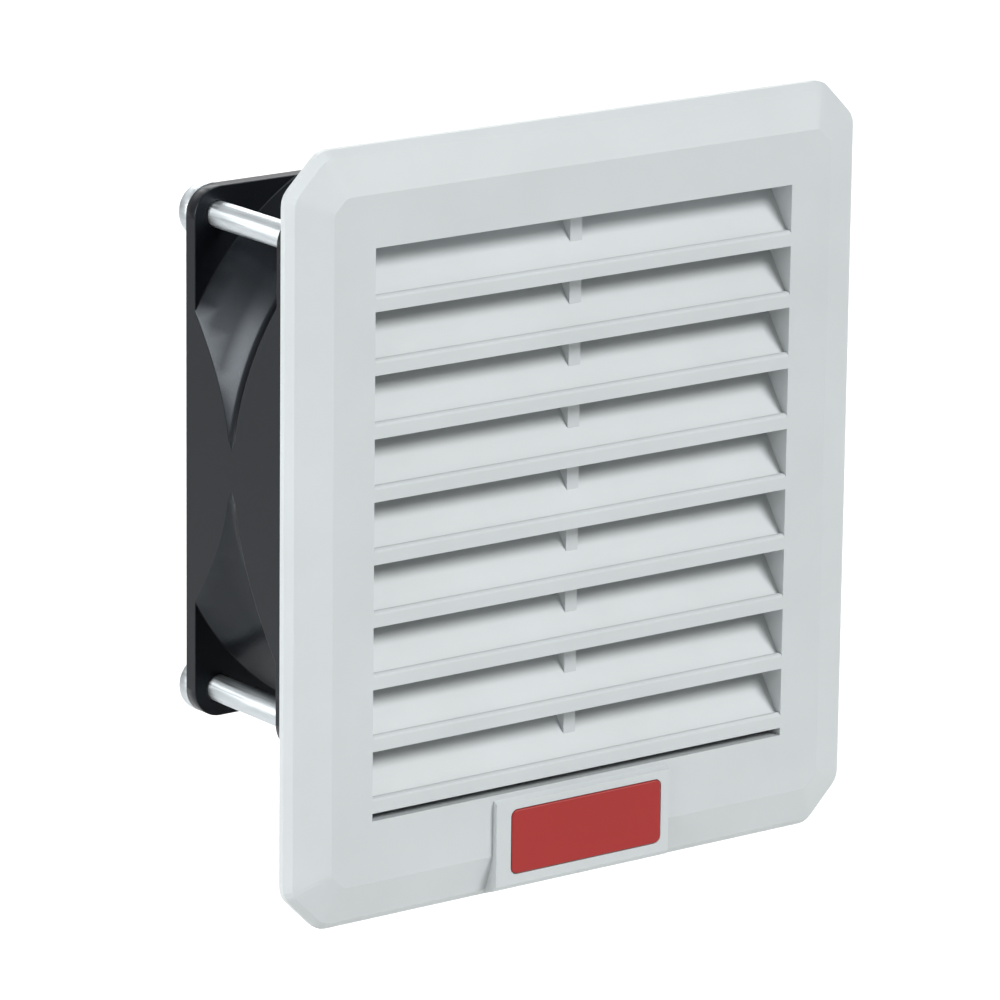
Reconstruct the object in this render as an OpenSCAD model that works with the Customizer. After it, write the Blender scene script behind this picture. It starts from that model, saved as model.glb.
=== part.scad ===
// Cabinet filter fan: a louvred cover hinged on a moulded frame that snaps into a
// panel cut-out, with a filter mat in the frame and an axial fan screwed on behind it.
// The origin is the middle of the panel cut-out on the panel's outer face.
// +Z is up, -Y points out of the cabinet and +Y into it.

/* [Panel cut-out] */
// Side of the square cut-out in the panel
cutout = 92; // [91:0.5:95]
// Play between the frame's collar and the cut-out, on each side
cutout_play = 0.3; // [0.2:0.05:0.6]
// Thickness of the foam gasket between flange and panel
gasket_t = 1.5; // [1:0.1:3]

/* [Mounting frame] */
// Thickness of the frame's flange
flange_t = 1.5; // [1.2:0.1:3]
// Distance from the cover's edge to the flange's edge
flange_inset = 2.2; // [2.1:0.1:3]
// Wall of the collar that passes through the panel
collar_wall = 1.6; // [1.2:0.1:2.4]
// How far the collar reaches behind the panel's face
collar_depth = 5.4; // [4.5:0.1:8]
// Wall of the square box that carries the fan
box_wall = 1.8; // [1.2:0.1:3]
// Depth of the mat grid's bars
grid_t = 2; // [1.5:0.1:4]
// Width of one grid bar
grid_bar = 1.6; // [1.2:0.1:3]
// Distance between grid bars
grid_pitch = 9.5; // [8:0.5:14]
// Length of the round throat between grid and fan
throat_l = 3; // [2.4:0.1:8]
// Radius of the throat
throat_r = 37.6; // [35:0.1:37.8]
// Wall kept round the throat
throat_wall = 2; // [1.5:0.1:2.2]

/* [Front cover] */
// Width of the cover
cover_w = 102; // [101:0.5:116]
// Height of the cover
cover_h = 114; // [112:0.5:126]
// How far the cover's middle lies below the cut-out's middle
cover_drop = 1.6; // [0:0.1:2.5]
// Depth of the cover from front face to rim
cover_depth = 3.8; // [3.6:0.1:4.2]
// Thickness of the cover's front plate
plate_t = 2.3; // [2.2:0.1:2.6]
// Wall of the cover's rim
rim_wall = 1.2; // [1:0.1:1.3]
// Straight part of the rim
rim_edge = 1; // [0.6:0.1:1.2]
// Chamfer between rim and bevel
rim_chamfer = 1; // [0.8:0.1:1.1]
// Width of the sloped band inside the rim
bevel_w = 5.5; // [4:0.1:7]
// Leg of the cut corners
corner_cut = 6; // [4:0.1:9]
// Length of the softened ends of the cut corners
corner_soft = 1.4; // [0.6:0.1:1.8]

/* [Louvre] */
// Number of slats
slat_count = 9; // [7:1:11]
// Slope of the slats above the horizontal
slat_angle = 50; // [45:1:56]
// Thickness of a slat
slat_t = 1.5; // [1.2:0.1:2]
// Height of the upright lip at a slat's front edge
lip_h = 2.4; // [1.4:0.1:2.8]
// Radius on the upper edge of a lip
lip_r = 0.6; // [0.2:0.05:0.8]
// How far each slat reaches up behind the lip above it
slat_lap = 1; // [0.2:0.1:1.2]
// Height of the drain slit under the last lip
slit_h = 1.15; // [0.8:0.05:2]
// Wall of the louvre's box
louvre_wall = 1.4; // [1:0.1:2]
// Floor of the louvre's box, under the slit
louvre_floor = 0.85; // [0.7:0.05:1.4]
// Gap between the louvre's box and the collar above it
louvre_top_play = 1.55; // [0.8:0.05:4]
// Gap between the louvre's box and the collar below it
louvre_low_play = 0.35; // [0.3:0.05:1]
// Gap between the louvre's box and the collar at each side
louvre_side_play = 5.3; // [2:0.1:9]
// Width of the upright web in the middle of the slots
mullion_w = 2.1; // [1.5:0.1:4]
// How far the web's front edge lies behind the cover's face
mullion_set = 2.9; // [1.5:0.1:4]

/* [Pull pad and badge] */
// Width of the raised pad under the louvre
pad_w = 31.6; // [31:0.2:40]
// Height of the pad above the cover's face
pad_proud = 0.8; // [0.5:0.1:1.4]
// Gap between slit and pad
pad_gap = 0.65; // [0.4:0.05:1.2]
// Width of the badge plate
badge_w = 27.3; // [20:0.1:27.5]
// Height of the badge plate
badge_h = 9.7; // [7:0.1:10]
// Thickness of the badge plate
badge_t = 0.95; // [0.7:0.05:1.4]
// Corner radius of the badge plate
badge_r = 1; // [0.5:0.1:2]
// Sideways place of the badge on the pad
badge_x = 0.6; // [-0.8:0.1:0.8]
// Pad left above the badge
badge_top = 1.9; // [1.4:0.1:2.2]
// Play around the badge in its recess
badge_play = 0.12; // [0.05:0.01:0.2]

/* [Cover hinge] */
// Radius of the hinge pins
pin_r = 0.5; // [0.4:0.05:0.6]
// Running play around the hinge pins
pin_play = 0.03; // [0.02:0.01:0.06]
// Distance from the cover's top edge to the pins
pin_drop = 1.7; // [1.6:0.05:1.8]
// Sideways place of the two hinges
hinge_x = 31; // [20:1:36]
// Width of the frame's hinge ear
ear_w = 5; // [4:0.5:8]
// Width of each of the cover's knuckles
knuckle_w = 4; // [3:0.5:6]
// Side play between ear and knuckle
hinge_play = 0.25; // [0.15:0.05:0.5]

/* [Cover catch] */
// Width of the catch under the louvre
catch_w = 10; // [6:1:20]
// Thickness of the catch
catch_t = 0.6; // [0.4:0.1:1]
// Height of the catch
catch_h = 0.2; // [0.1:0.05:0.22]
// Distance from the louvre's back to the catch
catch_set = 0.9; // [0.8:0.1:1.6]

/* [Filter mat] */
// Thickness of the filter mat
mat_t = 6; // [4:0.5:12]
// Play around the mat
mat_play = 0.3; // [0.2:0.1:1]

/* [Fan housing] */
// Side of the square fan housing
fan_size = 80; // [79:0.5:82]
// Depth of the fan housing
fan_depth = 25.4; // [25:0.1:32]
// How far the fan's axis lies above the cut-out's middle
fan_rise = 2.4; // [0:0.1:3]
// Distance between the fan's screw holes
hole_pitch = 71.5; // [71:0.1:72]
// Radius of the screw holes
hole_r = 2.15; // [2.1:0.05:2.3]
// Wall kept round the screw holes
hole_wall = 1.85; // [1.5:0.05:1.9]
// Thickness of the fan's flanges
fan_flange_t = 2.4; // [2:0.1:4]
// Corner radius of the fan's flanges
fan_corner_r = 4.5; // [3:0.1:5]
// Depth from the rear face to the barrel's waist
waist_from_rear = 11.8; // [10:0.1:14]
// Growth of the barrel's radius from waist to front flange
flare_front = 7.8; // [5:0.1:8]
// Growth of the barrel's radius from waist to rear flange
flare_rear = 5.5; // [4:0.1:7]
// Wall of the barrel
barrel_wall = 1.6; // [1.2:0.1:2]
// Radius of the motor seat
motor_seat_r = 17.5; // [16.5:0.1:19]
// Thickness of the motor seat
motor_seat_t = 2.2; // [1.8:0.1:3]
// Width of the four arms that carry the motor
arm_w = 3.6; // [2.5:0.1:6]
// Depth of the arms
arm_t = 3; // [2:0.1:4]

/* [Impeller] */
// Number of blades
blade_count = 7; // [5:1:9]
// Radius over the blade tips
blade_tip_r = 37.4; // [34:0.1:37.6]
// Gap between the blade tips and the barrel's flat sides
tip_gap = 1; // [0.6:0.1:3]
// Radius of the hub
hub_r = 17.5; // [17:0.1:19]
// Wall of the hub
hub_wall = 1.45; // [1.2:0.05:2]
// Distance from the fan's front face to the hub's front
hub_set = 2; // [1.5:0.1:4]
// Axial length of the hub
hub_l = 19.4; // [18:0.1:20]
// Blade chord at the hub
chord_hub = 18; // [14:0.5:19]
// Blade chord at the tip
chord_tip = 24; // [18:0.5:28]
// Blade angle to the plane of rotation, at the hub
twist_hub = 48; // [40:1:52]
// Blade angle to the plane of rotation, at the tip
twist_tip = 29; // [22:1:34]
// Greatest thickness of a blade
blade_t = 1.7; // [1.2:0.1:2.4]
// Camber of the blade as a length, at the tip
blade_camber = 1.8; // [0.8:0.1:2.6]
// How far the tip leads the root, in degrees
blade_sweep = 14; // [0:1:24]

/* [Motor] */
// Radius of the shaft
shaft_r = 1.5; // [1.2:0.05:1.6]
// Outer radius of the ball bearings
bearing_r = 4; // [3.5:0.1:4.5]
// Width of the ball bearings
bearing_l = 4; // [3:0.1:4.5]
// Running play of the shaft and fit of the bearings
bearing_play = 0.03; // [0.02:0.01:0.05]
// Wall of the bearing tube
tube_wall = 1.25; // [1:0.05:1.4]
// Wall of the steel rotor yoke
yoke_wall = 1; // [0.8:0.05:1.2]
// Wall of the magnet ring
magnet_wall = 1.7; // [1.4:0.1:2]
// Air gap between stator and magnet
air_gap = 0.5; // [0.3:0.05:0.7]
// Stack height of the stator
stack_l = 8; // [6:0.1:9]
// Width of a stator pole's neck
neck_w = 4; // [3:0.1:5]
// Build of the winding round a neck
coil_t = 1.6; // [1:0.1:1.9]
// Thickness of the circuit board
board_t = 1.2; // [0.8:0.1:1.6]

/* [Fasteners] */
// Radius of the fan screws
screw_r = 2; // [1.9:0.05:2]
// Radius of the screw heads
head_r = 4.2; // [3.4:0.1:4.2]
// Height of the screw heads
head_h = 3.4; // [2:0.1:3.6]
// Radius of the brass inserts
insert_r = 2.9; // [2.6:0.1:3.2]
// Length of the brass inserts
insert_l = 4.5; // [3:0.1:4.6]
// Wall of the bosses round the inserts
boss_wall = 1.3; // [1:0.1:1.4]
// Width of the spring clips
clip_w = 8; // [6:0.5:12]
// Sheet of the spring clips
clip_t = 0.4; // [0.3:0.05:0.5]
// Sideways place of the spring clips
clip_x = 24; // [16:1:32]
// How far a clip's free leg stands above its other leg
clip_reach = 2.7; // [2:0.1:4]
// Distance from the panel's face to the end of a clip's free leg
clip_grip = 2.3; // [1.5:0.1:3]

/* [Terminals] */
// Width of the terminal tabs
tab_w = 2.8; // [2:0.1:2.8]
// Thickness of the terminal tabs
tab_t = 0.5; // [0.4:0.1:0.8]
// Free length of the terminal tabs
tab_l = 6.5; // [5:0.1:7]
// Length of the tabs inside their block
tab_seat = 6; // [4:0.1:7]
// Distance between the middles of the two tabs
tab_pitch = 3.2; // [3:0.1:3.4]
// Width of the terminal block
block_w = 6.4; // [6.2:0.1:7]
// Thickness of the terminal block
block_t = 2.8; // [2:0.1:2.8]
// Length of the terminal block
block_l = 8; // [6:0.1:9]
// Gap between the terminal block and the screw's middle
block_gap = 2.8; // [2.5:0.1:3.2]

/* [Hidden] */
$fn = 96;
// A hair by which joined solids reach into each other
bite = 0.2;
// Reach of a cut past the face that it opens
past = 1;

// Depths of the cover and the flange
seat_y = -(gasket_t + flange_t);
front_y = seat_y - plate_t;
rim_y = front_y + cover_depth;

// Collar, louvre and cover outline
collar_out = cutout / 2 - cutout_play;
collar_in = collar_out - collar_wall;
collar_corner = 4;
cover_top = cover_h / 2 - cover_drop;
cover_low = -cover_h / 2 - cover_drop;
louvre_x = collar_in - louvre_side_play - louvre_wall;
louvre_low = -(collar_in - louvre_low_play - louvre_floor);
louvre_high = collar_in - louvre_top_play - louvre_wall;
slat_pitch = (louvre_high - louvre_low - slit_h) / slat_count;
slat_rise = slat_pitch - lip_h + slat_lap;
slat_back = front_y + slat_rise / tan(slat_angle);

// Depths behind the louvre, one after the other
mat_front = slat_back + 0.6;
grid_y = mat_front + mat_t + 0.1;
fan_y = grid_y + grid_t + throat_l;
fan_back = fan_y + fan_depth;
waist_y = fan_back - waist_from_rear;
fan_half = fan_size / 2;
hole_at = hole_pitch / 2;
boss_r = insert_r + boss_wall;
mat_half = min(fan_half - box_wall, collar_in - fan_rise) - mat_play;

// Depth of the clips' recess in the collar
clip_sink = clip_t + 0.2;

// Hinge
pin_y = -(gasket_t + flange_t / 2);
pin_z = cover_top - pin_drop;
ear_r = pin_r + 0.3;
// Rear face of the ears and top of the flange, kept clear of the rim as the cover swings up
ear_back = ear_r - 0.35;
swing_room = 0.9;
ear_room = ear_r + 0.15;
knuckle_r = pin_r + 0.45;
hinge_span = ear_w + 2 * (hinge_play + knuckle_w);

// Fan barrel and motor
barrel_half = blade_tip_r + tip_gap + barrel_wall;
waist_r = barrel_half + 0.1;
barrel_front_r = waist_r + flare_front;
barrel_rear_r = waist_r + flare_rear;
hub_y = fan_y + hub_set;
hub_back = hub_y + hub_l;
hub_face = 2.1;
boss_l = 2.1;
seat_face_y = fan_back - motor_seat_t;
board_y = seat_face_y - board_t;
tube_in = bearing_r + bearing_play;
tube_out = tube_in + tube_wall;
yoke_out = hub_r - hub_wall - 0.05;
magnet_out = yoke_out - yoke_wall - 0.05;
magnet_in = magnet_out - magnet_wall;
pole_r = magnet_in - air_gap;
yoke_y = hub_y + hub_face + 0.1;
spring_y = hub_y + hub_face + boss_l + 0.05;
spring_l = 2.5;
front_bearing_y = spring_y + spring_l + 0.1;
rear_bearing_y = seat_face_y - bearing_l - 0.1;
stack_y = front_bearing_y;
neck_in = tube_out + 2.7;
shoe_t = 1.7;
clip_seat_y = rear_bearing_y + bearing_l + 0.15;
shaft_clip_t = 0.45;
groove_r = shaft_r - 0.35;

// Draws children, a shape of x and z, as a plate from y0 to y1
module plate(y0, y1) {
  translate([0, y1, 0]) rotate([90, 0, 0]) linear_extrude(y1 - y0) children();
}

// Draws children, a shape of y and z, as a bar from x0 to x1
module bar(x0, x1) {
  translate([x0, 0, 0]) rotate([90, 0, 90]) linear_extrude(x1 - x0) children();
}

// Turns children, a half profile of radius and y, round the fan's axis
module turned() {
  translate([0, 0, fan_rise]) rotate([-90, 0, 0]) rotate_extrude() children();
}

// A round rod along y
module rod(r, y0, y1, x = 0, z = 0) {
  translate([x, y0, z]) rotate([-90, 0, 0]) cylinder(r = r, h = y1 - y0);
}

// A round rod along x through the hinge axis
module hinge_rod(r, x0, x1) {
  translate([x0, pin_y, pin_z]) rotate([0, 90, 0]) cylinder(r = r, h = x1 - x0, $fn = 48);
}

// Repeats children at the four corners of a square about the fan's axis
module at_screws() {
  for (sx = [-1, 1], sz = [-1, 1])
    translate([sx * hole_at, 0, fan_rise + sz * hole_at]) children();
}

// A rectangle with round corners
module round_rect(w, h, r) {
  square([w - 2 * r, h], center = true);
  square([w, h - 2 * r], center = true);
  for (sx = [-1, 1], sz = [-1, 1])
    translate([sx * (w / 2 - r), sz * (h / 2 - r)]) circle(r = r);
}

// The corner points of the cover's outline, moved in by inset
function cut_corners(inset) =
  let (w = cover_w / 2 - inset, h = cover_h / 2 - inset, c = corner_cut - inset * (2 - sqrt(2)))
  [[w, c - h], [w, h - c], [w - c, h], [c - w, h], [-w, h - c], [-w, c - h], [c - w, -h], [w - c, -h]];

// The same points with each corner eased by a short curve
function eased(points, reach, steps = 3) =
  let (n = len(points))
  [for (i = [0:n - 1], s = [0:steps])
    let (v = points[i], a = points[(i + n - 1) % n], b = points[(i + 1) % n], t = s / steps,
         p = v + (a - v) / norm(a - v) * reach, q = v + (b - v) / norm(b - v) * reach)
    (1 - t) * (1 - t) * p + 2 * t * (1 - t) * v + t * t * q];

// The cover's outline moved in by inset
module cover_outline(inset) {
  translate([0, -cover_drop]) polygon(eased(cut_corners(inset), max(corner_soft - inset * 0.12, 0.5)));
}

// The outer form of the cover: rim, chamfer, sloped band and flat face
module cover_form() {
  thin = 0.01;
  hull() {
    plate(rim_y - rim_edge, rim_y) cover_outline(0);
    plate(rim_y - rim_edge - rim_chamfer, rim_y) cover_outline(rim_chamfer);
    plate(front_y, front_y + thin) cover_outline(rim_chamfer + bevel_w);
  }
}

// One slat: an upright lip with a round upper edge and a blade rising behind it
module slat_profile(z0) {
  lip_top = z0 + lip_h;
  drop = slat_t / cos(slat_angle);
  foot = max(0.4, (drop - lip_h) / tan(slat_angle));
  back_z = lip_top + slat_rise;
  eased_top = [for (s = [0:4]) let (a = 180 - s * (180 - slat_angle) / 4)
    [front_y + lip_r + lip_r * cos(a), lip_top - lip_r + lip_r * sin(a)]];
  polygon(concat([[front_y + foot, z0], [front_y, z0]], eased_top,
    [[slat_back, back_z], [slat_back, back_z - drop]]));
}

module mounting_frame() {
  color("gainsboro") difference() {
    union() {
      // flange, cut back at the top for the swing of the cover's rim, and collar
      difference() {
        plate(seat_y, -gasket_t) cover_outline(flange_inset);
        translate([-cover_w / 2, seat_y - past, pin_z - swing_room]) cube([cover_w, flange_t + 2 * past, pin_drop]);
      }
      plate(seat_y, collar_depth) round_rect(2 * collar_out, 2 * collar_out, collar_corner);
      // box that carries the fan, and the throat's wall
      plate(collar_depth - collar_wall, fan_y) fan_outline();
      rod(throat_r + throat_wall, grid_y, fan_y, 0, fan_rise);
      // ears of the hinge
      for (side = [-1, 1]) translate([side * hinge_x, 0, 0]) {
        hinge_rod(ear_r, -ear_w / 2, ear_w / 2);
        translate([-ear_w / 2, pin_y - 0.9 * ear_r, pin_z - pin_drop]) cube([ear_w, 0.9 * ear_r + ear_back, pin_drop]);
      }
    }
    // room inside the collar
    plate(seat_y - past, collar_depth - collar_wall)
      round_rect(2 * collar_in, 2 * collar_in, collar_corner - collar_wall);
    // mat room inside the fan's box, with the corners left for the bosses behind the grid
    plate(seat_y - past, grid_y) translate([0, fan_rise])
      round_rect(2 * (mat_half + mat_play), 2 * (mat_half + mat_play), fan_corner_r - box_wall);
    // pockets behind the grid, between throat, bosses and walls
    difference() {
      plate(grid_y - past, fan_y - grid_t) translate([0, fan_rise])
        square(2 * (fan_half - box_wall), center = true);
      rod(throat_r + box_wall, grid_y - 2 * past, fan_y, 0, fan_rise);
      at_screws() rod(boss_r, grid_y - 2 * past, fan_y);
    }
    // throat
    rod(throat_r, grid_y + grid_t, fan_y + past, 0, fan_rise);
    // slots between the grid's bars
    difference() {
      rod(throat_r, grid_y - past, fan_y, 0, fan_rise);
      plate(grid_y - 2 * past, fan_y + past) translate([0, fan_rise]) {
        bars = floor(throat_r / grid_pitch);
        for (i = [-bars:bars]) translate([i * grid_pitch, 0]) square([grid_bar, 2 * fan_size], center = true);
        for (i = [-1, 1]) translate([0, i * throat_r / 3]) square([2 * fan_size, grid_bar], center = true);
      }
    }
    // holes for the inserts
    at_screws() {
      rod(insert_r + bearing_play, fan_y - insert_l, fan_y + past);
      rod(screw_r + bite, grid_y - past, fan_y);
    }
    // hinge bores and room for the cover's knuckles
    for (side = [-1, 1]) translate([side * hinge_x, 0, 0]) {
      hinge_rod(pin_r + pin_play, -ear_w, ear_w);
      for (s = [-1, 1]) translate([s * (ear_w + knuckle_w) / 2 + s * hinge_play, 0, pin_z])
        cube([knuckle_w + 2 * hinge_play, 4 * flange_t + 4 * gasket_t, 2 * (knuckle_r + hinge_play)], center = true);
    }
    // recesses for the spring clips
    for (side = [-1, 1], s = [0, 1]) mirror([0, 0, s])
      translate([side * clip_x - clip_w / 2 - bite, past / 2, collar_out - clip_sink])
        cube([clip_w + 2 * bite, collar_depth + past, clip_sink + clip_reach]);
    // dimple for the cover's catch
    translate([0, slat_back - catch_set, -collar_in]) cube([catch_w + 2, 2 * catch_t, 0.5], center = true);
  }
}

module panel_gasket() {
  color("dimgray") plate(-gasket_t, 0) difference() {
    cover_outline(flange_inset + 1);
    square(cutout + 0.4, center = true);
  }
}

module panel_clips() {
  // a bent strip: one leg in the collar's recess, one leg out behind the panel
  z0 = collar_out - clip_sink;
  color("silver") for (side = [-1, 1], s = [0, 1]) mirror([0, 0, s])
    bar(side * clip_x - clip_w / 2, side * clip_x + clip_w / 2)
      polygon([[0.6, z0], [collar_depth, z0], [collar_depth + 0.4, z0 + 0.5], [clip_grip + 0.2, z0 + clip_reach],
               [clip_grip, z0 + clip_reach - clip_t], [collar_depth - 0.3, z0 + 0.15 + clip_t], [0.6, z0 + clip_t]]);
}

module threaded_inserts() {
  color("goldenrod") at_screws() difference() {
    rod(insert_r, fan_y - insert_l, fan_y);
    rod(screw_r + bearing_play, fan_y - insert_l - past, fan_y + past);
  }
}

module filter_mat() {
  color("white") plate(mat_front, mat_front + mat_t) translate([0, fan_rise])
    round_rect(2 * mat_half, 2 * mat_half, fan_corner_r - box_wall);
}

// Depth of the slat's box and floor, behind the face
module louvre_box() {
  box_high = louvre_high + louvre_wall;
  box_low = louvre_low - louvre_floor;
  difference() {
    plate(front_y + bite, slat_back) translate([0, (box_high + box_low) / 2])
      square([2 * (louvre_x + louvre_wall), box_high - box_low], center = true);
    plate(front_y - past, slat_back + past) translate([0, (louvre_high + louvre_low) / 2])
      square([2 * louvre_x, louvre_high - louvre_low], center = true);
  }
  for (i = [1:slat_count])
    bar(-louvre_x - bite, louvre_x + bite) slat_profile(louvre_high - i * slat_pitch);
  plate(front_y + mullion_set, slat_back)
    translate([-mullion_w / 2, louvre_low + slit_h]) square([mullion_w, louvre_high - louvre_low - slit_h + bite]);
  // catch under the floor
  translate([0, slat_back - catch_set, box_low]) cube([catch_w, catch_t, 2 * catch_h], center = true);
}

// The pull pad runs from under the slit down over the rim
module pull_pad() {
  pad_y = front_y - pad_proud;
  pad_high = louvre_low - pad_gap;
  pad_back = seat_y - bite;
  bar(-pad_w / 2, pad_w / 2)
    polygon([[front_y + bite, pad_high], [pad_y, pad_high - 0.6], [pad_y, cover_low + 1.9],
             [pad_y + 0.5, cover_low + 1.2], [pad_back, cover_low + 0.3],
             [pad_back, cover_low + flange_inset], [pad_back, pad_high - 0.6]]);
}

module badge_shape(grow) {
  translate([badge_x, louvre_low - pad_gap - badge_top - badge_h / 2])
    round_rect(badge_w + 2 * grow, badge_h + 2 * grow, badge_r + grow);
}

module front_cover() {
  color("lightgray") difference() {
    union() {
      difference() {
        cover_form();
        // hollow of the rim, in two steps
        plate(rim_y - rim_edge - 0.1, rim_y + past) cover_outline(rim_wall);
        plate(seat_y, rim_y + past) cover_outline(flange_inset - 0.2);
        // louvre opening
        plate(front_y - past, rim_y + past) translate([0, (louvre_high + louvre_low) / 2])
          square([2 * louvre_x, louvre_high - louvre_low], center = true);
      }
      louvre_box();
      pull_pad();
      // hinge knuckles, filled up to the rim
      for (side = [-1, 1], s = [-1, 1])
        translate([side * hinge_x + s * (ear_w / 2 + hinge_play + knuckle_w / 2), 0, 0]) {
          hinge_rod(knuckle_r, -knuckle_w / 2, knuckle_w / 2);
          translate([-knuckle_w / 2, seat_y - bite, pin_z - 0.8 * knuckle_r])
            cube([knuckle_w, pin_y - seat_y + bite, 0.8 * knuckle_r + pin_drop - rim_wall + bite]);
          translate([-knuckle_w / 2, pin_y - bite, pin_z])
            cube([knuckle_w, rim_y - 0.1 - pin_y + bite, pin_drop - rim_wall + bite]);
        }
    }
    // badge recess
    plate(front_y - 2 * pad_proud, front_y) badge_shape(badge_play);
    // hinge bores and room for the frame's ears
    for (side = [-1, 1]) translate([side * hinge_x, 0, 0]) {
      hinge_rod(pin_r + pin_play, -hinge_span / 2 - past / 2, hinge_span / 2 + past / 2);
      hinge_rod(ear_room, -ear_w / 2 - hinge_play, ear_w / 2 + hinge_play);
      translate([-ear_w / 2 - hinge_play, pin_y - 0.9 * ear_room, pin_z - pin_drop - hinge_play])
        cube([ear_w + 2 * hinge_play, 2 * ear_room + gasket_t, pin_drop + hinge_play]);
    }
  }
}

module badge_plate() {
  color("firebrick") plate(front_y - badge_t, front_y) badge_shape(0);
}

module hinge_pins() {
  color("silver") for (side = [-1, 1]) translate([side * hinge_x, 0, 0])
    hinge_rod(pin_r, -hinge_span / 2, hinge_span / 2);
}

// Half profile of the barrel, narrowed by wall
module barrel_profile(wall, reach) {
  polygon([[0, fan_y - reach], [barrel_front_r - wall, fan_y - reach],
           [barrel_front_r - wall, fan_y + fan_flange_t], [waist_r + 0.15 - wall, waist_y - 0.8],
           [waist_r - wall, waist_y], [waist_r + 0.15 - wall, waist_y + 0.8],
           [barrel_rear_r - wall, fan_back - fan_flange_t],
           [barrel_rear_r - wall, fan_back + reach], [0, fan_back + reach]]);
}

// The fan's square flange, with a wall kept round each screw hole
module fan_outline() {
  translate([0, fan_rise]) {
    round_rect(fan_size, fan_size, fan_corner_r);
    for (sx = [-1, 1], sz = [-1, 1]) translate([sx * hole_at, sz * hole_at]) circle(r = hole_r + hole_wall);
  }
}

// The flat sides that limit the barrel, narrowed by wall
module barrel_sides(wall) {
  side = 2 * (barrel_half - wall);
  translate([0, fan_rise]) round_rect(side, side, fan_corner_r - wall);
}

module fan_housing() {
  color([0.09, 0.09, 0.1]) {
    difference() {
      union() {
        plate(fan_y, fan_y + fan_flange_t) fan_outline();
        plate(fan_back - fan_flange_t, fan_back) fan_outline();
        intersection() {
          turned() barrel_profile(0, 0);
          plate(fan_y, fan_back) barrel_sides(0);
        }
      }
      intersection() {
        turned() barrel_profile(barrel_wall, past);
        plate(fan_y - past, fan_back + past) barrel_sides(barrel_wall);
      }
      at_screws() rod(hole_r, fan_y - past, fan_back + past);
    }
    difference() {
      union() {
        // motor seat with its bearing tube
        rod(motor_seat_r, seat_face_y, fan_back, 0, fan_rise);
        rod(tube_out, front_bearing_y, fan_back, 0, fan_rise);
        // four arms from the seat to the barrel
        intersection() {
          plate(fan_back - arm_t, fan_back) translate([0, fan_rise]) for (k = [0:3]) rotate(k * 90 + 18)
            translate([motor_seat_r - 2, -arm_w / 2]) square([fan_size, arm_w]);
          plate(fan_y, fan_back) barrel_sides(barrel_wall / 2);
          turned() barrel_profile(barrel_wall / 2, 0);
        }
      }
      rod(tube_in, front_bearing_y - past, front_bearing_y + bearing_l, 0, fan_rise);
      rod(tube_in - 0.8, front_bearing_y, fan_back + past, 0, fan_rise);
      rod(tube_in, rear_bearing_y, fan_back + past, 0, fan_rise);
    }
  }
}

module fan_screws() {
  tip_y = fan_y - insert_l + 0.1;
  color("lightsteelblue") at_screws() {
    rod(screw_r, tip_y, fan_back + bite);
    // pan head with a round edge and a cross recess
    difference() {
      rotate([-90, 0, 0]) rotate_extrude() polygon(concat([[0, fan_back], [head_r, fan_back],
        [head_r, fan_back + head_h * 0.45]],
        [for (a = [15:15:90]) [head_r - head_h * 0.9 + head_h * 0.9 * cos(a), fan_back + head_h * (0.45 + 0.55 * sin(a))]],
        [[0, fan_back + head_h]]));
      for (q = [0, 90]) rotate([0, q, 0]) translate([0, fan_back + head_h, 0])
        cube([head_r * 1.1, head_h, head_r * 0.22], center = true);
    }
  }
}

// The terminal block sits on the rear flange, in the gap at the fan's lower right corner
block_z = fan_rise - hole_at + block_gap + block_w / 2;
block_back = fan_back - fan_flange_t;

module terminal_block() {
  color([0.12, 0.12, 0.13]) difference() {
    translate([barrel_half - block_t, block_back - block_l, block_z - block_w / 2])
      cube([block_t, block_l, block_w]);
    for (s = [-1, 1]) tab(s, bearing_play);
  }
}

// One terminal tab, grown by play
module tab(s, play) {
  front = block_back - block_l - tab_l;
  middle = [barrel_half - block_t / 2, front, block_z + s * tab_pitch / 2];
  translate(middle - [tab_t / 2 + play, play, tab_w / 2 + play])
    cube([tab_t + 2 * play, tab_l + tab_seat + 2 * play, tab_w + 2 * play]);
}

module terminal_tabs() {
  color("silver") for (s = [-1, 1]) tab(s, 0);
}

// One ball bearing: rings, shield and shield grooves as one turned profile
module bearing(y0) {
  groove = 0.25;
  turned() polygon([[shaft_r + bearing_play, y0], [shaft_r + 0.7, y0], [shaft_r + 0.7, y0 + groove],
    [bearing_r - 0.7, y0 + groove], [bearing_r - 0.7, y0], [bearing_r, y0], [bearing_r, y0 + bearing_l],
    [bearing_r - 0.7, y0 + bearing_l], [bearing_r - 0.7, y0 + bearing_l - groove],
    [shaft_r + 0.7, y0 + bearing_l - groove], [shaft_r + 0.7, y0 + bearing_l], [shaft_r + bearing_play, y0 + bearing_l]]);
}

module front_bearing() {
  color("silver") bearing(front_bearing_y);
}

module rear_bearing() {
  color("silver") bearing(rear_bearing_y);
}

module stator_core() {
  color("slategray") plate(stack_y, stack_y + stack_l) translate([0, fan_rise]) difference() {
    union() {
      circle(r = neck_in - 0.2);
      for (k = [0:3]) rotate(k * 90) translate([0, -neck_w / 2]) square([pole_r - shoe_t / 2, neck_w]);
      difference() {
        circle(r = pole_r);
        circle(r = pole_r - shoe_t);
        for (k = [0:3]) rotate(k * 90 + 45) translate([0, -1.6]) square([2 * pole_r, 3.2]);
      }
    }
    circle(r = tube_out + bearing_play);
  }
}

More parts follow.
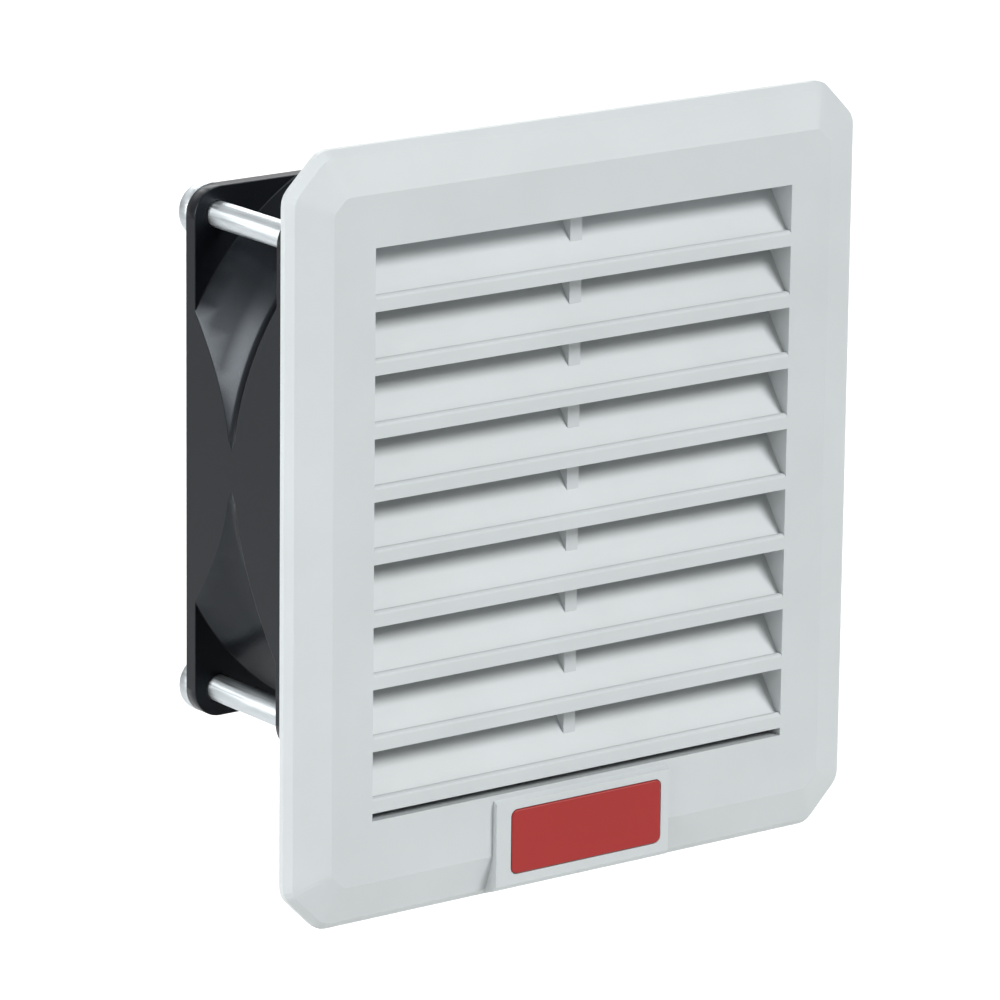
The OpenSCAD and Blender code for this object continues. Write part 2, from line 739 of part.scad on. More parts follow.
module stator_coils() {
  room = 0.15;
  coil_out = sqrt(pow(pole_r - shoe_t - room, 2) - pow(neck_w / 2 + coil_t, 2));
  color("chocolate") translate([0, 0, fan_rise]) for (k = [0:3]) rotate([0, k * 90, 0]) difference() {
    translate([neck_in, stack_y - coil_t, -neck_w / 2 - coil_t])
      cube([coil_out - neck_in, stack_l + 2 * coil_t, neck_w + 2 * coil_t]);
    translate([0, stack_y - room, -neck_w / 2 - room]) cube([pole_r, stack_l + 2 * room, neck_w + 2 * room]);
  }
}

module circuit_board() {
  color("darkgreen") difference() {
    rod(motor_seat_r - 2.5, board_y, seat_face_y, 0, fan_rise);
    rod(tube_out + 0.1, board_y - past, fan_back, 0, fan_rise);
  }
}

// Blade sections: a thin cambered profile wrapped on a cylinder of radius r
blade_stations = 6;
blade_steps = 6;
blade_root_r = hub_r - hub_wall / 2;
blade_mid_y = hub_y + hub_l / 2;

function blade_share(i) = i / (blade_stations - 1);
function mixed(a, b, t) = a + (b - a) * t;
function blade_point(i, s, side) =
  let (t = blade_share(i), r = mixed(blade_root_r, blade_tip_r, t), chord = mixed(chord_hub, chord_tip, t),
       pitch = mixed(twist_hub, twist_tip, t), bulge = 1 - 4 * s * s,
       off = blade_camber * mixed(0.7, 1, t) * bulge + side * blade_t / 2 * (0.3 + 0.7 * bulge),
       along = s * chord * cos(pitch) - off * sin(pitch), axial = s * chord * sin(pitch) + off * cos(pitch),
       a = along / r * 180 / PI + blade_sweep * t)
  [r * sin(a), blade_mid_y + axial, r * cos(a)];
function blade_ring(i) = concat(
  [for (k = [0:blade_steps]) blade_point(i, k / blade_steps - 0.5, 1)],
  [for (k = [blade_steps:-1:0]) blade_point(i, k / blade_steps - 0.5, -1)]);

// Two triangles over the four points a, b, c, d
function patch(a, b, c, d) = [[a, b, c], [a, c, d]];

module blade() {
  m = 2 * (blade_steps + 1);
  last = (blade_stations - 1) * m;
  polyhedron(points = [for (i = [0:blade_stations - 1]) each blade_ring(i)],
    faces = concat(
      [for (k = [0:blade_steps - 1]) each patch(m - 1 - k, m - 2 - k, k + 1, k)],
      [for (k = [0:blade_steps - 1]) each patch(last + k, last + k + 1, last + m - 2 - k, last + m - 1 - k)],
      [for (i = [0:blade_stations - 2], k = [0:m - 1]) each
        let (a = i * m + k, b = i * m + (k + 1) % m) patch(b, b + m, a + m, a)]));
}

module impeller() {
  bore_y = hub_y + 1.1;
  color([0.13, 0.13, 0.14]) {
    difference() {
      union() {
        turned() polygon([[0, hub_y], [hub_r - 1.2, hub_y], [hub_r - 0.35, hub_y + 0.35], [hub_r, hub_y + 1.2],
          [hub_r, hub_back], [hub_r - hub_wall, hub_back], [hub_r - hub_wall, hub_y + hub_face],
          [shaft_r + 1.6, hub_y + hub_face], [shaft_r + 1.6, hub_y + hub_face + boss_l], [0, hub_y + hub_face + boss_l]]);
        translate([0, 0, fan_rise]) for (k = [0:blade_count - 1]) rotate([0, k * 360 / blade_count, 0]) blade();
      }
      rod(shaft_r + bearing_play, bore_y, hub_back, 0, fan_rise);
      rod(hub_r - hub_wall, hub_y + hub_face + boss_l, hub_back + past, 0, fan_rise);
    }
  }
}

module rotor_yoke() {
  color("gray") turned() polygon([[shaft_r + 1.8, yoke_y], [yoke_out, yoke_y], [yoke_out, hub_back - 0.4],
    [yoke_out - yoke_wall, hub_back - 0.4], [yoke_out - yoke_wall, yoke_y + yoke_wall], [shaft_r + 1.8, yoke_y + yoke_wall]]);
}

module magnet_ring() {
  y0 = yoke_y + yoke_wall + 0.6;
  color("dimgray") turned() translate([magnet_in, y0]) square([magnet_wall, hub_back - 1.4 - y0]);
}

module rotor_shaft() {
  y0 = hub_y + 1.2;
  y1 = clip_seat_y + shaft_clip_t + 0.9;
  color("silver") turned() polygon([[0, y0], [shaft_r, y0], [shaft_r, clip_seat_y], [groove_r, clip_seat_y],
    [groove_r, clip_seat_y + shaft_clip_t + 0.05], [shaft_r, clip_seat_y + shaft_clip_t + 0.05], [shaft_r, y1 - 0.3],
    [shaft_r - 0.3, y1], [0, y1]]);
}

// Coil spring round the shaft, swept as rings along a helix
spring_turns = 3;
spring_wire_r = 0.22;
spring_r = shaft_r + 0.55;
spring_sides = 8;
spring_rings = 42;

function spring_point(i, k) =
  let (a = 360 * spring_turns * i / spring_rings, q = 360 * k / spring_sides,
       y = spring_y + spring_wire_r + (spring_l - 2 * spring_wire_r) * i / spring_rings,
       r = spring_r + spring_wire_r * cos(q))
  [r * sin(a), y + spring_wire_r * sin(q), fan_rise + r * cos(a)];

module preload_spring() {
  n = spring_sides;
  color("silver") polyhedron(
    points = [for (i = [0:spring_rings], k = [0:n - 1]) spring_point(i, k)],
    faces = concat(
      [[for (k = [n - 1:-1:0]) k]],
      [[for (k = [0:n - 1]) spring_rings * n + k]],
      [for (i = [0:spring_rings - 1], k = [0:n - 1]) each
        let (a = i * n + k, b = i * n + (k + 1) % n) patch(b, b + n, a + n, a)]));
}

module shaft_clip() {
  color("dimgray") plate(clip_seat_y + 0.02, clip_seat_y + 0.02 + shaft_clip_t) translate([0, fan_rise]) difference() {
    circle(r = shaft_r + 1.3);
    circle(r = groove_r + 0.02);
    translate([-groove_r, 0]) square([2 * groove_r, 3 * shaft_r]);
  }
}

mounting_frame();
panel_gasket();
panel_clips();
threaded_inserts();
filter_mat();
front_cover();
badge_plate();
hinge_pins();
fan_housing();
fan_screws();
terminal_block();
terminal_tabs();
front_bearing();
rear_bearing();
stator_core();
stator_coils();
circuit_board();
impeller();
rotor_yoke();
magnet_ring();
rotor_shaft();
preload_spring();
shaft_clip();
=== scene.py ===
"""Looks of a cabinet filter fan: louvred cover, snap-in frame, filter mat and axial fan."""

import math
import random

import bmesh
import bpy
from mathutils import Matrix, Vector, noise


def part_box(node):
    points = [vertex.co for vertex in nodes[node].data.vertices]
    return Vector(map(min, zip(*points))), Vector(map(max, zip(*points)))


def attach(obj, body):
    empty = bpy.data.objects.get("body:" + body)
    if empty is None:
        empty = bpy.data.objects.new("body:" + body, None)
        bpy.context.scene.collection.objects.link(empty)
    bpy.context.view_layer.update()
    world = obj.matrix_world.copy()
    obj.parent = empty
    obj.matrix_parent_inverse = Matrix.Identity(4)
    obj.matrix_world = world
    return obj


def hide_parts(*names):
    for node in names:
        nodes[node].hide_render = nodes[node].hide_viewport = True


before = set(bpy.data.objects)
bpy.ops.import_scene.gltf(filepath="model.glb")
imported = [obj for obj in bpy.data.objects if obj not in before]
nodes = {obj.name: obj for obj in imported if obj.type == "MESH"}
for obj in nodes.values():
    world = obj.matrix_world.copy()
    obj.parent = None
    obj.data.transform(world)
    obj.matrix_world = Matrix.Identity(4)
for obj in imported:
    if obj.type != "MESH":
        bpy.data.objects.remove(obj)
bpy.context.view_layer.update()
MM = 0.001

# Mounting frame: the light grey moulding that goes through the panel cut-out and carries
# everything else. Injection moulded ABS with a fine spark-eroded grain and eased edges.

field_low, field_high = 0.3, 0.7
cloud_scale = 55
weld_gap = 0.002 * MM
flat_angle = math.radians(0.2)
sharp_angle = math.radians(32)


def new_finish(name, colour, roughness, metallic=0.0):
    """A material with its shader set to one colour, roughness and metal share."""
    finish = bpy.data.materials.new(name)
    finish.use_nodes = True
    shader = finish.node_tree.nodes["Principled BSDF"]
    shader.inputs["Base Color"].default_value = (*colour, 1)
    shader.inputs["Roughness"].default_value = roughness
    shader.inputs["Metallic"].default_value = metallic
    return finish, shader


def noise_of(finish, scale, detail=3.0, stretch=(1, 1, 1)):
    """A noise field fixed to the piece, in lumps per metre, stretched along an axis."""
    tree = finish.node_tree
    place = tree.nodes.new("ShaderNodeTexCoord")
    spread = tree.nodes.new("ShaderNodeMapping")
    spread.inputs["Scale"].default_value = stretch
    field = tree.nodes.new("ShaderNodeTexNoise")
    field.inputs["Scale"].default_value = scale
    field.inputs["Detail"].default_value = detail
    tree.links.new(place.outputs["Object"], spread.inputs["Vector"])
    tree.links.new(spread.outputs["Vector"], field.inputs["Vector"])
    return field.outputs["Fac"]


def roughened(finish, shader, field, low, high):
    """Drives the roughness from low to high with a field."""
    tree = finish.node_tree
    ranged = tree.nodes.new("ShaderNodeMapRange")
    ranged.inputs["From Min"].default_value = field_low
    ranged.inputs["From Max"].default_value = field_high
    ranged.inputs["To Min"].default_value = low
    ranged.inputs["To Max"].default_value = high
    tree.links.new(field, ranged.inputs["Value"])
    tree.links.new(ranged.outputs["Result"], shader.inputs["Roughness"])


def shaded(colour, share):
    """A colour made darker or lighter by a share, ready for a node."""
    return (*(c * share for c in colour), 1)


def tinted(finish, shader, field, colour, dark, light):
    """Drives the base colour between two shares of a colour with a field."""
    tree = finish.node_tree
    ramp = tree.nodes.new("ShaderNodeValToRGB")
    ramp.color_ramp.elements[0].position = field_low
    ramp.color_ramp.elements[0].color = shaded(colour, dark)
    ramp.color_ramp.elements[1].position = field_high
    ramp.color_ramp.elements[1].color = shaded(colour, light)
    tree.links.new(field, ramp.inputs["Fac"])
    tree.links.new(ramp.outputs["Color"], shader.inputs["Base Color"])


def bumped(finish, shader, field, strength, depth):
    """Raises the surface by a field, depth in metres."""
    tree = finish.node_tree
    bump = tree.nodes.new("ShaderNodeBump")
    bump.inputs["Strength"].default_value = strength
    bump.inputs["Distance"].default_value = depth
    tree.links.new(field, bump.inputs["Height"])
    tree.links.new(bump.outputs["Normal"], shader.inputs["Normal"])


def moulded(name, colour, roughness, grain=3200, strength=0.25, gloss=0.5, sheen=(1, 1, 1)):
    """Moulded plastic: faint clouding, an even spark grain and a matching gloss."""
    finish, shader = new_finish(name, colour, roughness)
    shader.inputs["Specular IOR Level"].default_value = gloss
    shader.inputs["Specular Tint"].default_value = (*sheen, 1)
    clouds = noise_of(finish, cloud_scale)
    tinted(finish, shader, clouds, colour, dark=0.965, light=1.02)
    spark = noise_of(finish, grain, detail=4)
    roughened(finish, shader, spark, low=roughness - 0.05, high=roughness + 0.06)
    bumped(finish, shader, spark, strength, depth=0.04 * MM)
    return finish


def dress(node, finish):
    """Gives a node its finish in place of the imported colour."""
    piece = nodes[node]
    piece.data.materials.clear()
    piece.data.materials.append(finish)


def ease(node, width, segments=2, flatten=True):
    """Rounds a node's sharp edges by a modifier stack that leaves its mesh as it is."""
    piece = nodes[node]
    weld = piece.modifiers.new("weld", "WELD")
    weld.merge_threshold = weld_gap
    if flatten:
        flats = piece.modifiers.new("flats", "DECIMATE")
        flats.decimate_type = "DISSOLVE"
        flats.angle_limit = flat_angle
    edge = piece.modifiers.new("edge", "BEVEL")
    edge.width = width
    edge.segments = segments
    edge.limit_method = "ANGLE"
    edge.angle_limit = sharp_angle
    edge.harden_normals = True


frame_grey = (0.45, 0.477, 0.483)
dress("mounting_frame", moulded("frame_abs", frame_grey, roughness=0.5))
ease("mounting_frame", width=0.15 * MM)

# Panel gasket: a ring of dark closed-cell foam, die-cut and stuck to the back of the flange.
# Its cut edges are pressed round, its skin is uneven and shows the cells.

gasket_low, gasket_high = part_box("panel_gasket")
gasket_hole = 46.2 * MM
gasket_cut = 4.4 * MM
gasket_edge = 0.5 * MM
gasket_edge_share = 0.35
gasket_lump = 0.09 * MM
gasket_grain = 3 * MM
gasket_stations = 480
gasket_crease = 50
edge_steps = (0, 0.1, 0.3, 0.6)
face_steps = 6
least_lean = 0.001
lump_fall, lump_gap, lump_octaves = 1.0, 2.0, 4


def own_piece(name, mesh, body, finish, crease=None):
    """Makes a piece that rides on a body from a mesh, smooth up to a crease in degrees."""
    shape = bpy.data.meshes.new(name)
    mesh.to_mesh(shape)
    mesh.free()
    shape.materials.append(finish)
    if crease is not None:
        shape.shade_smooth()
        shape.set_sharp_from_angle(angle=math.radians(crease))
    piece = bpy.data.objects.new(name, shape)
    bpy.context.scene.collection.objects.link(piece)
    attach(piece, body)
    return piece


def mixed(a, b, share):
    """A value between a and b."""
    return a + (b - a) * share


def lumps_at(place, grain):
    """Lumps of about one grain with finer ones on them, above and below nought."""
    return noise.fractal(place / grain, lump_fall, lump_gap, lump_octaves)


def gasket_rims(turn):
    """Inner and outer radius of the gasket at an angle about the cut-out's middle."""
    side, up = abs(math.sin(turn)), math.cos(turn)
    limits = [(side, gasket_high.x), (up, gasket_high.z), (-up, -gasket_low.z)]
    limits.append((side + up, gasket_high.x + gasket_high.z - gasket_cut))
    limits.append((side - up, gasket_high.x - gasket_low.z - gasket_cut))
    outer = min(reach / lean for lean, reach in limits if lean > least_lean)
    return gasket_hole / max(side, abs(up)), outer


def gasket_section(turn):
    """Radius and y of the points round the foam's section at one angle."""
    inner, outer = gasket_rims(turn)
    width = outer - inner
    edge = min(gasket_edge, gasket_edge_share * width)
    rising = [edge * share for share in edge_steps]
    level = [mixed(edge, width - edge, k / face_steps) for k in range(face_steps + 1)]
    falling = [width - step for step in reversed(rising)]
    section = []
    for step in rising + level + falling:
        short = edge - min(step, width - step, edge)
        rounding = edge - math.sqrt(edge * edge - short * short)
        place = Vector((math.sin(turn), 0, math.cos(turn))) * (inner + step)
        lump = gasket_lump * (1 + lumps_at(place, gasket_grain)) / 2
        section.append((inner + step, gasket_high.y - rounding - max(lump, 0)))
    return section + [(outer, gasket_low.y), (inner, gasket_low.y)]


def foam_ring(mesh):
    """The foam's sections joined round the cut-out."""
    rings = []
    for station in range(gasket_stations):
        turn = math.tau * station / gasket_stations
        spots = [(r * math.sin(turn), y, r * math.cos(turn)) for r, y in gasket_section(turn)]
        rings.append([mesh.verts.new(spot) for spot in spots])
    for before, after in zip(rings, rings[1:] + rings[:1]):
        for k in range(len(before)):
            n = (k + 1) % len(before)
            mesh.faces.new((before[k], before[n], after[n], after[k]))
    bmesh.ops.recalc_face_normals(mesh, faces=mesh.faces)


foam_black = (0.035, 0.036, 0.038)
foam, foam_shader = new_finish("gasket_foam", foam_black, roughness=0.9)
cells = noise_of(foam, scale=1500, detail=6)
tinted(foam, foam_shader, cells, foam_black, dark=0.6, light=1.5)
roughened(foam, foam_shader, cells, low=0.82, high=0.96)
bumped(foam, foam_shader, cells, strength=0.6, depth=0.15 * MM)

gasket_mesh = bmesh.new()
foam_ring(gasket_mesh)
gasket = own_piece("foam_gasket", gasket_mesh, "frame", foam, gasket_crease)
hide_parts("panel_gasket")

# Spring clips: four strips of rolled spring steel, bent over and pushed on the collar.
# The rolling lines run along the strip's width.

line_scale = 900


def worked_metal(name, colour, roughness, stretch=(1, 1, 1)):
    """Worked metal with a fine grain that a stretch draws out to lines."""
    finish, shader = new_finish(name, colour, roughness, metallic=1.0)
    lines = noise_of(finish, line_scale, detail=4, stretch=stretch)
    tinted(finish, shader, lines, colour, dark=0.93, light=1.05)
    roughened(finish, shader, lines, low=roughness - 0.06, high=roughness + 0.1)
    bumped(finish, shader, lines, strength=0.06, depth=0.02 * MM)
    return finish


clip_grey = (0.46, 0.47, 0.49)
dress("panel_clips", worked_metal("clip_steel", clip_grey, roughness=0.3, stretch=(0.15, 2, 2)))
ease("panel_clips", width=0.06 * MM)

# Threaded inserts: turned brass, pressed into the bosses of the fan seat, where the fan's
# front flange covers them.

brass = (0.6, 0.4, 0.14)
dress("threaded_inserts", worked_metal("insert_brass", brass, roughness=0.28, stretch=(2, 0.2, 2)))

# Filter mat: a square of bonded polyester fibre, fluffy on both faces and soft at its cut
# edges. A lumpy core carries loose fibres that lie in its faces.

mat_low, mat_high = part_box("filter_mat")
mat_cells = 84
mat_edge = 1.4 * MM
mat_lump = 0.5 * MM
mat_lump_middle = 0.55
mat_grain = 5 * MM
mat_dip_most = 2.4 * MM
fibre_count = 2200
fibre_steps = 8
fibre_r = 0.032 * MM
fibre_rise = 0.1 * MM
fibre_rise_least = 0.3
fibre_margin = 2.5 * MM
fibre_bend = 0.5
fibre_wander = 0.25
fibre_stride_mm = (0.8, 2.2)
fibre_sides = [math.pi / 2 + math.tau * k / 3 for k in range(3)]


def mat_dip(x, z, face):
    """How far the mat's face lies under its flat face at one place."""
    rim = min(x - mat_low.x, mat_high.x - x, z - mat_low.z, mat_high.z - z)
    short = max(0.0, mat_edge - rim)
    rounding = mat_edge - math.sqrt(max(0.0, mat_edge * mat_edge - short * short))
    lumps = lumps_at(Vector((x, face, z)), mat_grain)
    dip = rounding + mat_lump * (mat_lump_middle + (1 - mat_lump_middle) * lumps)
    return min(dip, mat_dip_most)


def mat_point(x, z, face, lift=0.0):
    """A point on the mat's front face, 0, or rear face, 1."""
    dip = mat_dip(x, z, face) - lift
    y = mat_low.y + dip if face == 0 else mat_high.y - dip
    return Vector((x, y, z))


def mat_core(mesh):
    """Two lumpy faces joined by a cut edge."""
    last = mat_cells
    across = [mixed(mat_low.x, mat_high.x, i / last) for i in range(last + 1)]
    upward = [mixed(mat_low.z, mat_high.z, k / last) for k in range(last + 1)]
    faces = []
    for face in (0, 1):
        faces.append([[mesh.verts.new(mat_point(x, z, face)) for z in upward] for x in across])
    for face, rows in enumerate(faces):
        for i in range(last):
            for k in range(last):
                ring = (rows[i][k], rows[i][k + 1], rows[i + 1][k + 1], rows[i + 1][k])
                mesh.faces.new(reversed(ring) if face == 0 else ring)
    front, rear = faces
    walk = [(i, 0) for i in range(last)] + [(last, k) for k in range(last)]
    walk += [(last - i, last) for i in range(last)] + [(0, last - k) for k in range(last)]
    for (i, k), (m, n) in zip(walk, walk[1:] + walk[:1]):
        mesh.faces.new((front[i][k], front[m][n], rear[m][n], rear[i][k]))


def fibre(mesh, dice):
    """One loose fibre as a thin three-sided tube that wanders in a face of the mat."""
    left, right = mat_low.x + fibre_margin, mat_high.x - fibre_margin
    bottom, top = mat_low.z + fibre_margin, mat_high.z - fibre_margin
    face = dice.choice((0, 1))
    x = dice.uniform(left, right)
    z = dice.uniform(bottom, top)
    heading = dice.uniform(0, math.tau)
    bend = dice.uniform(-fibre_bend, fibre_bend)
    stride = dice.uniform(*fibre_stride_mm) * MM
    swell = dice.uniform(fibre_rise_least, 1.0)
    outward = Vector((0, -1 if face == 0 else 1, 0))
    rings = []
    for step in range(fibre_steps):
        lift = fibre_rise * swell * math.sin(math.pi * step / (fibre_steps - 1))
        x = min(max(x, left), right)
        z = min(max(z, bottom), top)
        middle = mat_point(x, z, face, lift)
        across = Vector((-math.sin(heading), 0, math.cos(heading)))
        ring = [across * math.cos(a) + outward * math.sin(a) for a in fibre_sides]
        rings.append([mesh.verts.new(middle + fibre_r * side) for side in ring])
        x += stride * math.cos(heading)
        z += stride * math.sin(heading)
        heading += bend + dice.uniform(-fibre_wander, fibre_wander)
    for before, after in zip(rings, rings[1:]):
        for k in range(len(before)):
            n = (k + 1) % len(before)
            mesh.faces.new((before[k], before[n], after[n], after[k]))
    mesh.faces.new(reversed(rings[0]))
    mesh.faces.new(rings[-1])


fibre_white = (0.74, 0.75, 0.735)
mat_finish, mat_shader = new_finish("mat_fibre", fibre_white, roughness=0.88)
fluff = noise_of(mat_finish, scale=650, detail=8)
tinted(mat_finish, mat_shader, fluff, fibre_white, dark=0.86, light=1.08)
roughened(mat_finish, mat_shader, fluff, low=0.8, high=0.96)
bumped(mat_finish, mat_shader, fluff, strength=0.45, depth=0.3 * MM)

mat_mesh = bmesh.new()
mat_core(mat_mesh)
mat_dice = random.Random(7)
for _ in range(fibre_count):
    fibre(mat_mesh, mat_dice)
filter_mat = own_piece("fibre_mat", mat_mesh, "frame", mat_finish)
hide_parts("filter_mat")

# Front cover: a sloped band round a louvre, moulded in a slightly lighter and smoother ABS than
# the frame. The lips' edges are rounded by the mould.

cover_grey = (0.46, 0.49, 0.497)
dress("front_cover", moulded("cover_abs", cover_grey, roughness=0.47))
ease("front_cover", width=0.12 * MM)

# Badge plate: a plain red moulded plate, pressed into a recess of the cover's pull pad. It is
# smoother than the cover and its edge is rounded.

badge_red = (0.29, 0.018, 0.016)
dress("badge_plate", moulded("badge_plastic", badge_red, roughness=0.4, grain=2600, gloss=0.36))
ease("badge_plate", width=0.22 * MM, segments=3)

# Hinge pins: short ground steel pins through the cover's knuckles and the frame's ears, with
# the grinding lines round them.

pin_grey = (0.6, 0.61, 0.63)
dress("hinge_pins", worked_metal("pin_steel", pin_grey, roughness=0.2, stretch=(3, 0.3, 0.3)))

# Fan housing: glass filled black plastic, satin from the mould. The barrel, the arms and the
# motor seat are one moulding.

fan_black = (0.0042, 0.005, 0.0068)
fan_sheen = (0.84, 0.92, 1)
fan_plastic = moulded(
    "fan_plastic", fan_black, roughness=0.32, grain=9000, strength=0.03, gloss=0.31, sheen=fan_sheen
)
dress("fan_housing", fan_plastic)
ease("fan_housing", width=0.2 * MM, flatten=False)

# Fan screws: long pan head screws, zinc plated, with the drawing lines of the wire along
# their shanks.

zinc_grey = (0.54, 0.58, 0.6)
dress("fan_screws", worked_metal("zinc_plate", zinc_grey, roughness=0.42, stretch=(3, 0.15, 3)))
ease("fan_screws", width=0.1 * MM)

# Terminals: two tinned tabs in a black block in a corner gap between the fan's flanges. The
# tabs are stamped from strip.

tin_grey = (0.66, 0.67, 0.66)
dress("terminal_block", moulded("terminal_plastic", fan_black, roughness=0.5))
ease("terminal_block", width=0.15 * MM)
dress("terminal_tabs", worked_metal("tab_tin", tin_grey, roughness=0.26, stretch=(2, 0.2, 2)))
ease("terminal_tabs", width=0.05 * MM)

# Ball bearings: ground rings with pressed shields, one at each end of the bearing tube. Both
# share one finish.

bearing_grey = (0.58, 0.59, 0.6)
bearing_steel = worked_metal("bearing_steel", bearing_grey, roughness=0.22)
dress("front_bearing", bearing_steel)
dress("rear_bearing", bearing_steel)

# Stator: a stack of laminations whose sheet edges show as fine lines round it, and four
# windings of enamelled wire on its necks.

core_grey = (0.3, 0.31, 0.33)
coil_brown = (0.5, 0.17, 0.05)
core_steel = worked_metal("lamination_steel", core_grey, roughness=0.4, stretch=(0.2, 6, 0.2))
dress("stator_core", core_steel)
ease("stator_core", width=0.06 * MM)
coil_wire = worked_metal("enamelled_copper", coil_brown, roughness=0.3, stretch=(4, 0.3, 0.3))
dress("stator_coils", coil_wire)
ease("stator_coils", width=0.35 * MM, segments=3)

# Circuit board: a round board on the motor seat, under green solder mask that is mottled by
# the tracks below it.

board_green = (0.01, 0.11, 0.035)
board_mask, board_shader = new_finish("board_mask", board_green, roughness=0.32)
tracks = noise_of(board_mask, scale=320, detail=2)
tinted(board_mask, board_shader, tracks, board_green, dark=0.7, light=1.3)
roughened(board_mask, board_shader, tracks, low=0.26, high=0.4)
bumped(board_mask, board_shader, tracks, strength=0.3, depth=0.03 * MM)
dress("circuit_board", board_mask)

# Impeller: hub and seven blades in one shot of black plastic, its sizes in millimetres. Each
# blade is lofted from root to tip: chord, twist and camber change, and the tip leads the root.

axis_z = 2.4
hub_front = 14.954
hub_l = 19.4
hub_r = 17.5
hub_wall = 1.45
hub_inner_r = hub_r - hub_wall
hub_face = 2.1
hub_round = 1.2
hub_round_steps = 6
hub_sides = 128
boss_r = 3.1
boss_end = 4.2
bore_r = 1.53
bore_floor = 1.1
blade_count = 7
blade_tip_r = 37.4
chord_hub, chord_tip = 18, 24
twist_hub, twist_tip = math.radians(48), math.radians(29)
blade_t = 1.7
blade_edge_share = 0.3
blade_camber = 1.8
camber_hub_share = 0.7
blade_sweep = math.radians(14)
blade_stations = 18
blade_steps = 22
blade_crease = 38


def round_axis(radius, y, angle):
    """A point at a radius and angle about the fan's axis, from millimetres."""
    return Vector((radius * math.sin(angle), y, axis_z + radius * math.cos(angle))) * MM


def blade_point(share, s, side, lead):
    """A point on a blade: share from root to tip, s along the chord, one side or the other."""
    radius = mixed(hub_r - hub_wall / 2, blade_tip_r, share)
    chord = mixed(chord_hub, chord_tip, share)
    pitch = mixed(twist_hub, twist_tip, share)
    bulge = 1 - 4 * s * s
    half = blade_t / 2 * mixed(blade_edge_share, 1, bulge)
    off = blade_camber * mixed(camber_hub_share, 1, share) * bulge + side * half
    along = s * chord * math.cos(pitch) - off * math.sin(pitch)
    axial = s * chord * math.sin(pitch) + off * math.cos(pitch)
    angle = lead + along / radius + blade_sweep * share
    return round_axis(radius, hub_front + hub_l / 2 + axial, angle)


def blade(mesh, lead):
    """One closed blade, its root inside the hub's wall."""
    spots = [k / blade_steps - 0.5 for k in range(blade_steps + 1)]
    loop = [(s, 1) for s in spots] + [(s, -1) for s in reversed(spots)]
    count = len(loop)
    rings = []
    for i in range(blade_stations):
        share = i / (blade_stations - 1)
        rings.append([mesh.verts.new(blade_point(share, s, side, lead)) for s, side in loop])
    for inner, outer in zip(rings, rings[1:]):
        for k in range(count):
            n = (k + 1) % count
            mesh.faces.new((inner[k], outer[k], outer[n], inner[n]))
    for ring in (rings[0], rings[-1]):
        for k in range(blade_steps):
            mesh.faces.new((ring[k], ring[k + 1], ring[count - 2 - k], ring[count - 1 - k]))


def lathed(mesh, profile, sides):
    """A closed profile of radius and y turned about the fan's axis."""
    rings = []
    for radius, y in profile:
        count = sides if radius > 0 else 1
        spots = [round_axis(radius, y, math.tau * k / sides) for k in range(count)]
        rings.append([mesh.verts.new(spot) for spot in spots])
    for before, after in zip(rings, rings[1:]):
        for k in range(sides):
            n = (k + 1) % sides
            corners = [before[k % len(before)], before[n % len(before)]]
            corners += [after[n % len(after)], after[k % len(after)]]
            mesh.faces.new(list(dict.fromkeys(corners)))


hub_profile = [(0, 0), (hub_r - hub_round, 0)]
for step in range(1, hub_round_steps + 1):
    bend = math.pi / 2 * step / hub_round_steps
    rim_r = hub_r - hub_round * (1 - math.sin(bend))
    hub_profile.append((rim_r, hub_round * (1 - math.cos(bend))))
hub_profile += [(hub_r, hub_l), (hub_inner_r, hub_l), (hub_inner_r, hub_face), (boss_r, hub_face)]
hub_profile += [(boss_r, boss_end), (bore_r, boss_end), (bore_r, bore_floor), (0, bore_floor)]
impeller_mesh = bmesh.new()
lathed(impeller_mesh, [(radius, hub_front + y) for radius, y in hub_profile], hub_sides)
for k in range(blade_count):
    blade(impeller_mesh, math.tau * k / blade_count)
bmesh.ops.recalc_face_normals(impeller_mesh, faces=impeller_mesh.faces)

blade_black = (0.0075, 0.008, 0.0098)
blade_plastic = moulded(
    "impeller_plastic", blade_black, roughness=0.36, grain=2400, gloss=0.34, sheen=fan_sheen
)
impeller = own_piece(
    "bladed_impeller", impeller_mesh, "rotor", blade_plastic, blade_crease
)
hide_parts("impeller")

# Rotor: a drawn steel yoke in the hub with a ferrite ring inside it, on a ground shaft that a
# coil spring preloads and a ring clip holds.

yoke_grey = (0.35, 0.36, 0.38)
ferrite_black = (0.035, 0.035, 0.037)
shaft_grey = (0.62, 0.63, 0.65)
wire_grey = (0.5, 0.51, 0.53)
ring_grey = (0.3, 0.3, 0.31)
dress("rotor_yoke", worked_metal("yoke_steel", yoke_grey, roughness=0.4, stretch=(1, 0.3, 1)))
dress("magnet_ring", moulded("ferrite", ferrite_black, roughness=0.6, grain=1800))
dress("rotor_shaft", worked_metal("shaft_steel", shaft_grey, roughness=0.16, stretch=(0.3, 3, 0.3)))
dress("preload_spring", worked_metal("spring_wire", wire_grey, roughness=0.3))
dress("shaft_clip", worked_metal("clip_ring_steel", ring_grey, roughness=0.35))

# Floor and light: a pale floor well below the part, with a box of its own, and an even sky. A
# soft sun from the front right makes the lips shade the slats. Two boxes on the left light the
# slots' ends and the fan, and a weak one behind lights the screws.

scene = bpy.context.scene
floor_z = -0.45
floor_size = 30
floor_grey = (0.7, 0.7, 0.7)
bpy.ops.mesh.primitive_plane_add(size=floor_size, location=(0, 0, floor_z))
floor = bpy.context.object
floor.name = "floor"
floor.data.materials.append(new_finish("floor_paper", floor_grey, roughness=0.95)[0])

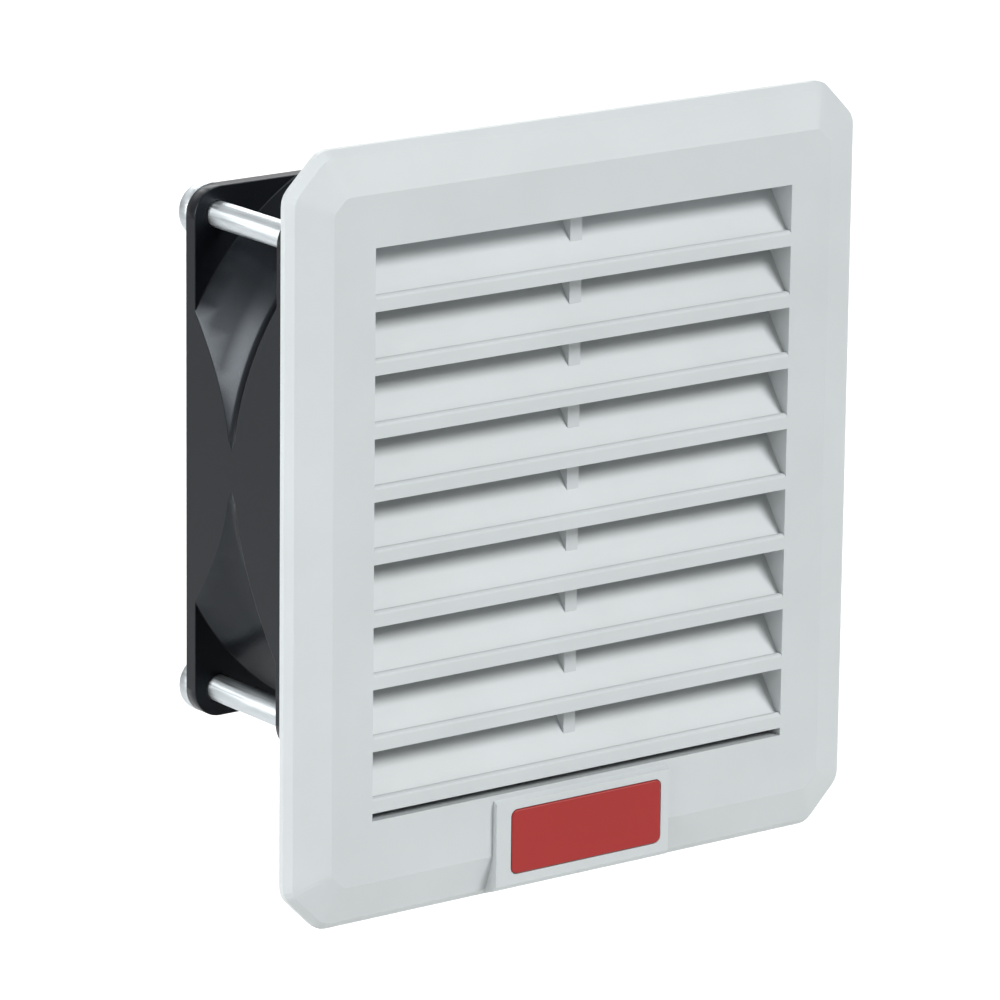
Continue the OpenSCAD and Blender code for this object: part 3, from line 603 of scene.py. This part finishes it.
sky_strength = 0.28
world = bpy.data.worlds.new("studio")
world.use_nodes = True
sky = world.node_tree.nodes["Background"]
sky.inputs["Color"].default_value = (1, 1, 1, 1)
sky.inputs["Strength"].default_value = sky_strength
scene.world = world
scene.view_settings.view_transform = "Standard"

sun_path = Vector((-0.36, 0.72, -0.59))
sun_strength = 3.0
sun_spread = math.radians(24)
sun_data = bpy.data.lights.new("sun", "SUN")
sun_data.energy = sun_strength
sun_data.angle = sun_spread
sun = bpy.data.objects.new("sun", sun_data)
scene.collection.objects.link(sun)
sun.rotation_euler = sun_path.to_track_quat("-Z", "Y").to_euler()


def soft_box(name, place, width, height, power, target=(0, 0, 0)):
    """A soft box at place, turned to a target."""
    data = bpy.data.lights.new(name, "AREA")
    data.shape = "RECTANGLE"
    data.size = width
    data.size_y = height
    data.energy = power
    lamp = bpy.data.objects.new(name, data)
    scene.collection.objects.link(lamp)
    lamp.location = place
    lamp.rotation_euler = (Vector(target) - Vector(place)).to_track_quat("-Z", "Y").to_euler()


soft_box("left_box", (-1.5, -0.4, 0.2), width=0.5, height=1, power=5.5)
soft_box("fan_box", (-1.15, 0.13, 0.46), width=0.42, height=0.7, power=13.5)
soft_box("rear_box", (-0.15, 0.7, 0.52), width=0.5, height=0.5, power=0.9)
soft_box("floor_box", (1.1, 1.5, 1), width=2, height=2, power=40, target=(1.1, 1.5, floor_z))

# Camera: fitted to the photograph with a long lens. It stands to the left of the cover and a
# little above it, and its place and lens are in millimetres.

lens_mm = 246.35
sensor_mm = 36
near, far = 0.05, 60
camera_mm = (-581.81, -763.69, 254.53)
yaw, pitch, roll = 0.6416, 0.2613, 0.0113
ahead = Vector((math.sin(yaw) * math.cos(pitch), math.cos(yaw) * math.cos(pitch), -math.sin(pitch)))
level = Vector((math.cos(yaw), -math.sin(yaw), 0))
upright = level.cross(ahead)
right = math.cos(roll) * level + math.sin(roll) * upright
above = math.cos(roll) * upright - math.sin(roll) * level
camera_data = bpy.data.cameras.new("camera")
camera_data.lens = lens_mm
camera_data.sensor_width = sensor_mm
camera_data.clip_start = near
camera_data.clip_end = far
camera = bpy.data.objects.new("camera", camera_data)
scene.collection.objects.link(camera)
turn = Matrix((right, above, -ahead)).transposed()
camera.matrix_world = Matrix.Translation(Vector(camera_mm) * MM) @ turn.to_4x4()
scene.camera = camera
